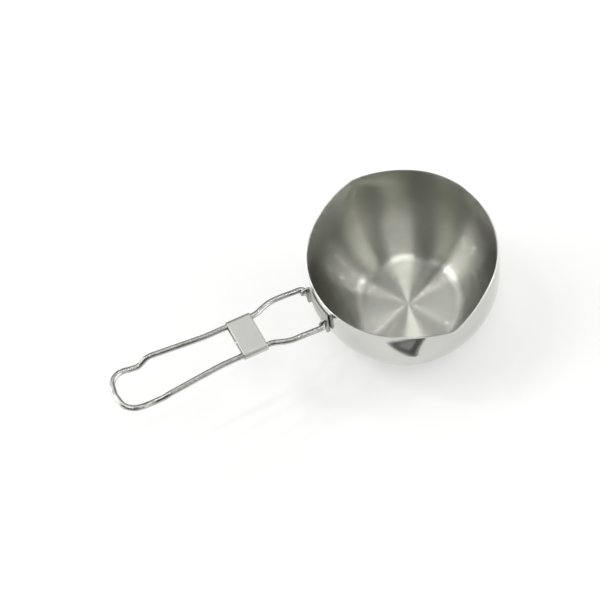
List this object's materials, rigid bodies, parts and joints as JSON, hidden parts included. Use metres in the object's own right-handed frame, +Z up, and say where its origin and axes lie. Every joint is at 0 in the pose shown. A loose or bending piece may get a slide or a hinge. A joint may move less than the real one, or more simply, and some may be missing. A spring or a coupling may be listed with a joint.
{
  "type": "candle melting pot",
  "caption": "Small steel melting pot with a round belly, flat base, pour spouts on both sides and a long folding wire handle with a sliding clasp.",
  "frame": {"origin": "centre of the flat base, on its underside", "axes": "+Z up out of the pot's mouth, -X along the handle, +Y and -Y through the two pour spouts"},
  "size_m": [0.2718, 0.1338, 0.0923],
  "materials": {
    "bowl_steel": "spun and brushed inside, polished outside",
    "bracket_steel": "stamped and polished sheet",
    "wire_steel": "bright drawn wire",
    "clasp_steel": "satin sheet"
  },
  "bodies": {
    "pot": {"bowl": "bowl_steel", "handle_bracket": "bracket_steel"},
    "handle": {"wire_handle": "wire_steel"},
    "clasp": {"sliding_clasp": "clasp_steel"}
  },
  "joints": [
    {"name": "handle_fold", "type": "hinge", "parent": "pot", "child": "handle", "pos_m": [-0.0663, 0, 0.0661], "axis": [0, 1, 0], "range_deg": [0, 90]},
    {"name": "clasp_slide", "type": "slide", "parent": "handle", "child": "clasp", "axis": [-0.986, 0, 0.1668], "range_m": [0, 0.011]}
  ]
}
